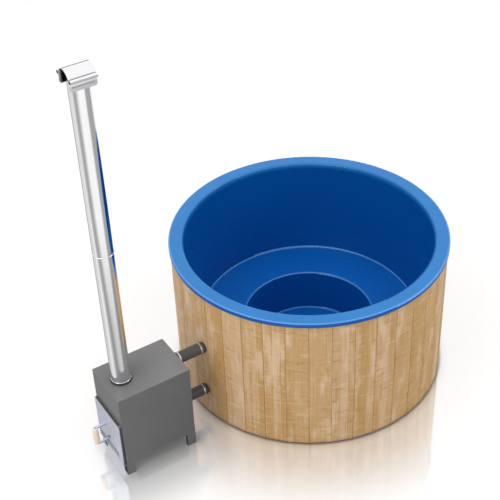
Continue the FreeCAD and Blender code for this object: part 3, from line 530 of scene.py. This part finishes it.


# smoke marks round the air slots, also painted shade that widens the dark slots
def slotSootAndShade(tree, where):
    place = split(tree, where)
    pitch, count = doorSteel["slotPitch"], doorSteel["slots"]
    along = calc(tree, "SUBTRACT", doorSteel["slotFirst"] + pitch / 2, place["Y"])
    turn = calc(tree, "SUBTRACT", calc(tree, "FLOORED_MODULO", along, pitch), pitch / 2)
    mark = span(tree, calc(tree, "ABSOLUTE", turn), *doorSteel["slotHalf"], 1.0, 0.0)
    half = pitch * count / 2
    row = calc(tree, "LESS_THAN", calc(tree, "ABSOLUTE", calc(tree, "SUBTRACT", along, half)), half)
    mark = calc(tree, "MULTIPLY", mark, row)
    mark = calc(tree, "MULTIPLY", mark, span(tree, place["Z"], *doorSteel["slotLow"]))
    risen = span(tree, place["Z"], *doorSteel["slotHigh"], doorSteel["sootShare"], 0.0)
    return calc(tree, "MULTIPLY", mark, risen)


def doorFinish(name, folded):      # with the flaky spangle of zinc
    finish, tree, shader, where = startFinish(name, metallic=doorSteel["metallic"])
    flake = put(tree, "TexVoronoi", {"Vector": where, "Scale": doorSteel["spangle"]})
    tone = put(tree, "SeparateColor", {0: flake.outputs["Color"]}).outputs["Red"]
    smear = drawnOut(tree, where, doorSteel["smear"], 4.0)
    spangle = calc(tree, "MULTIPLY", tone, doorSteel["spangleShare"])
    body = tint(tree, spangle, colour(doorSteel["zinc"]), colour(doorSteel["flake"]))
    body = tint(tree, span(tree, smear, 0.45, 0.75, 0.0, 0.4), body, colour(doorSteel["flake"]))
    if folded:
        behind = calc(tree, "SUBTRACT", split(tree, where)["X"], doorFront)
        fold = span(tree, behind, doorSteel["skin"], doorSteel["skin"] * 1.2)
        body = tint(tree, fold, body, colour(doorSteel["folds"]))
        sideways = facingParts(tree)["Y"]
        # painted shade on the side walls of the air slots
        slotWallMask = span(tree, calc(tree, "ABSOLUTE", sideways), 0.6, 0.8)
        slotWallMask = calc(tree, "MULTIPLY", slotWallMask, calc(tree, "SUBTRACT", 1.0, fold))
        body = tint(tree, slotWallMask, body, colour(doorSteel["slotWallShade"]))
        # smoke marks and painted shade round the air slots
        body = tint(tree, slotSootAndShade(tree, where), body, colour(doorSteel["soot"]))
    feed(tree, shader.inputs["Base Color"], body)
    mixed = calc(tree, "MULTIPLY_ADD", tone, 0.4, calc(tree, "MULTIPLY", smear, 0.6))
    feed(tree, shader.inputs["Roughness"], span(tree, mixed, 0.2, 0.7, *doorSteel["gloss"]))
    bump(tree, shader, smear, *doorSteel["relief"])
    return finish


# iron that the fire and the water reach

boilerSteel = {
    "scale": (0.085, 0.080, 0.075), "rust": (0.20, 0.085, 0.035), "black": 0.02,
    "crust": (60.0, 6.0, 0.65), "bloom": (11.0, 4.0),      # scale, detail and roughness of each noise
    "metallic": 0.4, "rough": (0.55, 0.8), "relief": (0.0006, 0.5),
}
grateIron = dict(
    boilerSteel, scale=(0.060, 0.058, 0.056), rust=(0.15, 0.07, 0.035),
    rough=(0.65, 0.85), relief=(0.0012, 0.5),
)


def sootyFinish(name, iron):
    finish, tree, shader, where = startFinish(name, metallic=iron["metallic"])
    crust = noise(tree, where, *iron["crust"])
    bloom = noise(tree, where, *iron["bloom"])
    body = tint(tree, span(tree, bloom, 0.5, 0.72, 0.0, 0.55), colour(iron["scale"]), colour(iron["rust"]))
    body = tint(tree, span(tree, crust, 0.5, 0.8, 0.0, 0.5), body, grey(iron["black"]))
    feed(tree, shader.inputs["Base Color"], body)
    feed(tree, shader.inputs["Roughness"], spread(tree, crust, *iron["rough"]))
    bump(tree, shader, crust, *iron["relief"])
    return finish


# rubbers and plastics

hoseRubber = {
    "body": (0.076, 0.076, 0.078), "bloom": (0.140, 0.140, 0.142),
    "grain": (8.0, 240.0, 240.0), "cloud": (22.0, 3.0),      # cloud's scale and detail
    "edge": 0.001, "edgeShare": 0.5,      # rubbed pale along the corners
    "gloss": (0.34, 0.5), "relief": (0.0002, 0.2),
}
plugRubber = dict(
    hoseRubber, body=(0.030, 0.030, 0.032), bloom=(0.07, 0.07, 0.07),
    grain=(90.0, 90.0, 90.0), gloss=(0.5, 0.65),
)
pipePlastic = dict(
    hoseRubber, body=(0.045, 0.048, 0.052), bloom=(0.10, 0.10, 0.105),
    grain=(6.0, 160.0, 160.0), gloss=(0.32, 0.46),
)
grillePlastic = dict(
    hoseRubber, body=(0.010, 0.15, 0.46), bloom=(0.06, 0.26, 0.60),
    grain=(70.0, 70.0, 70.0), gloss=(0.3, 0.42),
)
knobPlastic = dict(
    hoseRubber, body=(0.24, 0.24, 0.25), bloom=(0.32, 0.32, 0.33),
    grain=(180.0, 180.0, 180.0), gloss=(0.35, 0.5),
)


def mouldedFinish(name, stuff):
    finish, tree, shader, where = startFinish(name)
    grain = drawnOut(tree, where, stuff["grain"], 4.0)
    cloud = noise(tree, where, *stuff["cloud"])
    body = tint(tree, span(tree, grain, 0.45, 0.8, 0.0, 0.6), colour(stuff["body"]), colour(stuff["bloom"]))
    body = tint(tree, span(tree, cloud, 0.5, 0.8, 0.0, 0.35), body, colour(stuff["bloom"]))
    edge = calc(tree, "MULTIPLY", wornEdge(tree, stuff["edge"]), stuff["edgeShare"])
    feed(tree, shader.inputs["Base Color"], tint(tree, edge, body, colour(stuff["bloom"])))
    feed(tree, shader.inputs["Roughness"], spread(tree, grain, *stuff["gloss"]))
    bump(tree, shader, grain, *stuff["relief"])
    return finish


ropeSeal = {
    "pale": (0.50, 0.48, 0.43), "dark": (0.20, 0.19, 0.17),
    "lay": 1560.0,      # turn of the braid's wave, in radians per metre
    "smoke": (40.0, 3.0),
    "specular": 0.2, "rough": (0.82, 0.95), "relief": (0.001, 0.5),
}


def ropeFinish():      # braided glass rope, greyed by smoke
    finish, tree, shader, where = startFinish("sealRope", specular=ropeSeal["specular"])
    place = split(tree, where)
    slant = calc(tree, "ADD", calc(tree, "ADD", place["X"], place["Y"]), place["Z"])
    lay = calc(tree, "SINE", calc(tree, "MULTIPLY", slant, ropeSeal["lay"]))
    smoke = noise(tree, where, *ropeSeal["smoke"])
    body = tint(tree, span(tree, lay, -0.6, 0.6), colour(ropeSeal["dark"]), colour(ropeSeal["pale"]))
    body = tint(tree, span(tree, smoke, 0.45, 0.7, 0.0, 0.6), body, colour(ropeSeal["dark"]))
    feed(tree, shader.inputs["Base Color"], body)
    feed(tree, shader.inputs["Roughness"], spread(tree, smoke, *ropeSeal["rough"]))
    bump(tree, shader, lay, *ropeSeal["relief"])
    return finish


# which finish each piece gets

casing = (
    "heater_top", "heater_bottom", "heater_front", "heater_rear", "heater_left_side", "heater_right_side",
)
legs = ("leg_front_left", "leg_front_right", "leg_rear_left", "leg_rear_right")
firebox = ("firebox_left_wall", "firebox_right_wall", "firebox_back_wall", "firebox_roof", "flue_stub")
spigots = ("upper_spigot", "lower_spigot")
dress(linerFinish(), "tub_liner")
dress(boardFinish(), "wall_staves", "pipe_stave")
dress(timberFinish("sawnTimber", sawnTimber), "base_joists", "bench_posts")
dress(timberFinish("plyTimber", plyTimber), "upper_hoop", "lower_hoop")
dress(timberFinish("gripWood", gripTimber), "handle_grip")
dress(paintFinish("stovePaint", stovePaint), *casing, "hinge_lugs", "hinge_rod")
dress(paintFinish("legPaint", legPaint), *legs)
dress(paintFinish("collarPaint", collarPaint), "flue_collar")
dress(steelFinish("flueSteel", flueSteel, flueInside), "chimney_lower", "chimney_upper")
dress(steelFinish("capSteel", capSteel, capInside), "chimney_cap")
dress(steelFinish("beadSteel", capSteel), "cap_beads", "cap_rivets")
dress(steelFinish("barSteel", barSteel), "handle_bars")
dress(steelFinish("clampSteel", clampSteel), "hose_clamps")
dress(steelFinish("zincSteel", zincSteel), "cladding_screws", "clamp_screws", "handle_nuts", "handle_rod")
dress(doorFinish("doorZinc", True), "door_pan")
dress(doorFinish("sheetZinc", False), "door_shield", "slider_guides")
dress(sootyFinish("boilerSteel", boilerSteel), *firebox, *spigots, "grate_ledges", "ash_pan")
dress(sootyFinish("grateIron", grateIron), "fire_grate", "air_slider")
dress(mouldedFinish("hoseRubber", hoseRubber), "upper_hose", "lower_hose")
dress(mouldedFinish("plugRubber", plugRubber), "drain_plug")
dress(mouldedFinish("pipePlastic", pipePlastic), "return_stub", "suction_stub", "drain_cup", "drain_pipe")
dress(mouldedFinish("grillePlastic", grillePlastic), "return_grille", "suction_grille")
dress(mouldedFinish("knobPlastic", knobPlastic), "slider_knob")
dress(ropeFinish(), "door_seal")
print("finishes on", len(nodes), "nodes")


# floor

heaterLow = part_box("heater_right_side")[0]
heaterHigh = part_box("heater_left_side")[1]
floor = {
    "half": 40.0,
    "white": 0.66,      # share of the light that the floor scatters back
    "speck": (3.0, 2.0), "speckLevel": 0.985,
    "glow": 0.36,       # lifts the floor to white for the lens
    "tubMirror": 0.62, "tubFade": 0.70,      # share of the mirror image at the foot, and its reach
    "heaterMirror": 0.55, "heaterFade": 0.5,
    "mirrorLevel": 0.98,
    "blur": (0.13, 0.07), "blurReach": 0.5,      # beside the heater, and a stride from it
    "tubShade": (0.07, 0.3),      # reach of the shade at the foot, glow left there
    "heaterShade": (0.10, 0.35),
    "doorShade": 0.25,      # reach of the shade before the door, as a share of that beside the heater
    "contact": (0.024, 0.45),      # width of the painted shadow at the tub's foot, and its level
    "under": (0.10, 0.04),      # how far in from side and front the heater's shade grows
    "underLevel": 0.135,
    "plan": 0.001,      # what lies closer to the heater's plan than this is under it
    "fore": (0.66, 0.67, 0.71),           # the door's pale image before it
    "foreReach": (0.11, 0.07, 0.13),      # how far it runs out, and where it ends under the heater
    "foreShare": 0.75, "foreEdge": 0.03,
    "foreLean": 0.388, "foreStop": (-0.03, 0.05),      # its slant along the front leg's shade, its end there
    "flags": (      # dark wedges that the flue mirrors: from, to, level, soft edge, turn close by
        (284.0, 372.0, 0.40, 20.0, 0.0),
        (150.0, 238.0, 0.38, 42.0, 26.0),
        (118.0, 166.0, 0.72, 20.0, 0.0),
        (70.0, 130.0, 0.45, 20.0, 0.0),
    ),
    "near": (0.6, 3.0),           # how close the floor darkens in the flue
    "nearLevel": (205.0, 250.0, 0.85, 0.58),      # from one bearing to another, and the level at each
    "far": (7.0, 14.0, 0.15),     # where it darkens again, and its level there
}


def heaterApart(tree, place, doorShare=1.0):      # distance from the heater's plan, longer before the door
    gaps = []
    for axis, name in enumerate("XY"):
        middle = (heaterLow[axis] + heaterHigh[axis]) / 2
        half = (heaterHigh[axis] - heaterLow[axis]) / 2
        off = calc(tree, "ABSOLUTE", calc(tree, "SUBTRACT", place[name], middle))
        gaps.append(calc(tree, "MAXIMUM", calc(tree, "SUBTRACT", off, half), 0.0))
    before = calc(tree, "LESS_THAN", place["X"], heaterLow.x)
    stretched = calc(tree, "MULTIPLY_ADD", before, 1.0 / doorShare - 1.0, 1.0)
    return diagonal(tree, calc(tree, "MULTIPLY", gaps[0], stretched), gaps[1])


def polishedFloor(tree, where, place):      # the floor as polished metal shows it
    east = calc(tree, "SUBTRACT", place["X"], flueAxis.x)
    north = calc(tree, "SUBTRACT", place["Y"], flueAxis.y)
    bearing = calc(tree, "FLOORED_MODULO", calc(tree, "DEGREES", calc(tree, "ARCTAN2", north, east)), 360.0)
    away = fromFlue(tree, where)
    nearFrom, nearTo = floor["near"]
    nearLevel = span(tree, bearing, *floor["nearLevel"])
    farFrom, farTo, farLevel = floor["far"]
    level = calc(tree, "MULTIPLY", span(tree, away, nearFrom, nearTo, nearLevel, 1.0),
                 span(tree, away, farFrom, farTo, 1.0, farLevel))
    for start, end, dark, edge, drift in floor["flags"]:
        begin = span(tree, away, nearFrom, nearTo, start + drift, start)
        turn = calc(tree, "FLOORED_MODULO", calc(tree, "SUBTRACT", bearing, begin), 360.0)
        inside = calc(tree, "MULTIPLY", span(tree, turn, 0.0, edge),
                      span(tree, turn, end - start - edge, end - start, 1.0, 0.0))
        level = calc(tree, "MULTIPLY", level, calc(tree, "MULTIPLY_ADD", inside, dark - 1.0, 1.0))
    return level


def underHeater(tree, place, apart, ray):      # 1 deep under the heater
    sideDepth, frontDepth = floor["under"]
    share = calc(tree, "MULTIPLY", calc(tree, "LESS_THAN", apart, floor["plan"]), ray["Is Camera Ray"])
    for name, start, depth in (("X", heaterLow.x, frontDepth), ("Y", heaterLow.y, sideDepth)):
        share = calc(tree, "MULTIPLY", share, span(tree, place[name], start, start + depth))
    return share


def beforeDoor(tree, place, ray):      # share of the door's image in the floor
    front, right, left = heaterLow.x, heaterLow.y, heaterHigh.y
    outside, inside, end = floor["foreReach"]
    edge, lean = floor["foreEdge"], floor["foreLean"]
    share = calc(tree, "MULTIPLY", span(tree, place["X"], front - outside, front, 0.0, floor["foreShare"]),
                 span(tree, place["X"], front + inside, front + end, 1.0, 0.0))
    share = calc(tree, "MULTIPLY", share, span(tree, place["Y"], right - edge, right + edge))
    share = calc(tree, "MULTIPLY", share, span(tree, place["Y"], left - edge, left + edge, 1.0, 0.0))
    slant = calc(tree, "MULTIPLY_ADD", place["Y"], -lean, lean * right - front)
    slant = calc(tree, "ADD", slant, place["X"])
    share = calc(tree, "MULTIPLY", share, span(tree, slant, *floor["foreStop"], 1.0, 0.0))
    return calc(tree, "MULTIPLY", share, ray["Is Camera Ray"])


def shine(tree, tone, strength=1.0):
    return put(tree, "Emission", {"Color": tone, "Strength": strength}).outputs[0]


def over(tree, share, below, above):
    return put(tree, "MixShader", {0: share, 1: below, 2: above}).outputs[0]


def floorFinish():
    finish, tree, shader, where = startFinish("studioFloor")
    place = split(tree, where)
    ray = put(tree, "LightPath").outputs
    tubApart = calc(tree, "SUBTRACT", flatReach(tree, where), corner)
    apart = heaterApart(tree, place)
    tubNear = span(tree, tubApart, 0.0, floor["tubFade"], floor["tubMirror"], 0.0)
    heaterNear = span(tree, apart, 0.0, floor["heaterFade"], floor["heaterMirror"], 0.0)
    share = calc(tree, "MULTIPLY", calc(tree, "MAXIMUM", tubNear, heaterNear), ray["Is Camera Ray"])
    closer = heaterApart(tree, place, floor["doorShade"])
    tubReach, tubLeft = floor["tubShade"]
    heaterReach, heaterLeft = floor["heaterShade"]
    shade = calc(tree, "MULTIPLY", span(tree, tubApart, 0.0, tubReach, tubLeft, 1.0),
                 span(tree, closer, 0.0, heaterReach, heaterLeft, 1.0))
    seen = calc(tree, "MAXIMUM", ray["Is Camera Ray"], ray["Is Transmission Ray"])
    lift = calc(tree, "MULTIPLY", calc(tree, "MULTIPLY", seen, floor["glow"]), shade)

    speck = noise(tree, where, *floor["speck"])
    paper = tint(tree, speck, grey(floor["white"]), grey(floor["white"] * floor["speckLevel"]))
    lineWidth, lineLevel = floor["contact"]
    # painted shadow at the tub's foot
    dark = span(tree, tubApart, 0.0, lineWidth, lineLevel, 1.0)
    scatter = put(tree, "BsdfDiffuse", {"Color": tint(tree, dark, grey(0.0), paper)}).outputs[0]
    bare = put(tree, "AddShader", {0: scatter, 1: shine(tree, grey(1.0), lift)}).outputs[0]
    polished = shine(tree, grey(1.0), polishedFloor(tree, where, place))
    bare = over(tree, ray["Is Glossy Ray"], bare, polished)
    sheen = tint(tree, dark, grey(0.0), grey(floor["mirrorLevel"]))
    blur = span(tree, apart, 0.0, floor["blurReach"], *floor["blur"])
    mirror = put(tree, "BsdfGlossy", {"Color": sheen, "Roughness": blur}).outputs[0]
    surface = over(tree, share, bare, mirror)
    gloom = shine(tree, grey(floor["underLevel"]))
    surface = over(tree, underHeater(tree, place, apart, ray), surface, gloom)
    surface = over(tree, beforeDoor(tree, place, ray), surface, shine(tree, colour(floor["fore"])))
    tree.nodes.remove(shader)
    feed(tree, tree.nodes["Material Output"].inputs["Surface"], surface)
    return finish


def makeFloor():
    half = floor["half"]
    outline = [(-half, -half, 0.0), (half, -half, 0.0), (half, half, 0.0), (-half, half, 0.0)]
    mesh = bpy.data.meshes.new("studioFloor")
    mesh.from_pydata(outline, [], [(0, 1, 2, 3)])
    mesh.materials.append(floorFinish())
    sheet = bpy.data.objects.new("studioFloor", mesh)
    bpy.context.scene.collection.objects.link(sheet)


makeFloor()
print("floor laid")


# light

light = {
    "sky": (0.30, 0.94),                # level at the horizon, and how much brighter straight up
    "skyDark": (-0.10, 0.22, 0.12),     # sine of the band's low and high edge, its level for polished metal
    "softboxes": (
        {"bearing": 197.0, "rise": 39.0, "away": 7.0, "side": 4.0, "watts": 118.0},
        {"bearing": 332.0, "rise": 26.0, "away": 7.0, "side": 3.0, "watts": 70.0},
    ),
    "aim": (-0.4, 0.0, 0.7),
}


def makeSky():
    world = bpy.data.worlds.new("studioSky")
    bpy.context.scene.world = world
    world.use_nodes = True
    tree = world.node_tree
    ray = put(tree, "LightPath").outputs
    rise = split(tree, put(tree, "TexCoord").outputs["Generated"])["Z"]
    low, high, dark = light["skyDark"]
    band = calc(tree, "ABSOLUTE", calc(tree, "SUBTRACT", rise, (low + high) / 2))
    polished = span(tree, band, (high - low) / 4, (high - low) / 2, dark, 1.0)
    seen = calc(tree, "MAXIMUM", ray["Is Camera Ray"], ray["Is Transmission Ray"])
    horizon, extra = light["sky"]
    dome = calc(tree, "MULTIPLY_ADD", calc(tree, "MAXIMUM", rise, 0.0), extra, horizon)
    strength = put(tree, "Mix", {0: ray["Is Glossy Ray"], 2: dome, 3: polished}).outputs[0]
    strength = put(tree, "Mix", {0: seen, 2: strength, 3: 1.0}).outputs[0]
    background = tree.nodes["Background"]
    background.inputs["Color"].default_value = grey(1.0)
    feed(tree, background.inputs["Strength"], strength)


def makeSoftbox(setting):
    bearing, rise = math.radians(setting["bearing"]), math.radians(setting["rise"])
    out = Vector((math.cos(rise) * math.cos(bearing), math.cos(rise) * math.sin(bearing), math.sin(rise)))
    lamp = bpy.data.lights.new("softbox", "AREA")
    lamp.size = setting["side"]
    lamp.energy = setting["watts"]
    holder = bpy.data.objects.new("softbox", lamp)
    holder.location = Vector(light["aim"]) + out * setting["away"]
    holder.rotation_euler = out.to_track_quat("Z", "Y").to_euler()
    bpy.context.scene.collection.objects.link(holder)


makeSky()
for softbox in light["softboxes"]:
    makeSoftbox(softbox)
bpy.context.scene.view_settings.view_transform = "Standard"
print("lights set")


# camera

lens = {
    "stand": (-3.3105, -4.7813, 5.3072),
    "turn": -30.963, "tip": 52.670, "roll": -2.531,      # degrees
    "length": 81.1, "film": 36.0,      # millimetres
    "sight": 200.0,
}


def makeCamera():
    data = bpy.data.cameras.new("lens")
    data.lens = lens["length"]
    data.sensor_width = lens["film"]
    data.clip_end = lens["sight"]
    camera = bpy.data.objects.new("lens", data)
    turn = Matrix.Rotation(math.radians(lens["turn"]), 4, "Z")
    tip = Matrix.Rotation(math.radians(lens["tip"]), 4, "X")
    roll = Matrix.Rotation(math.radians(lens["roll"]), 4, "Z")
    camera.matrix_world = Matrix.Translation(lens["stand"]) @ turn @ tip @ roll
    bpy.context.scene.collection.objects.link(camera)
    bpy.context.scene.camera = camera


makeCamera()
print("camera placed")
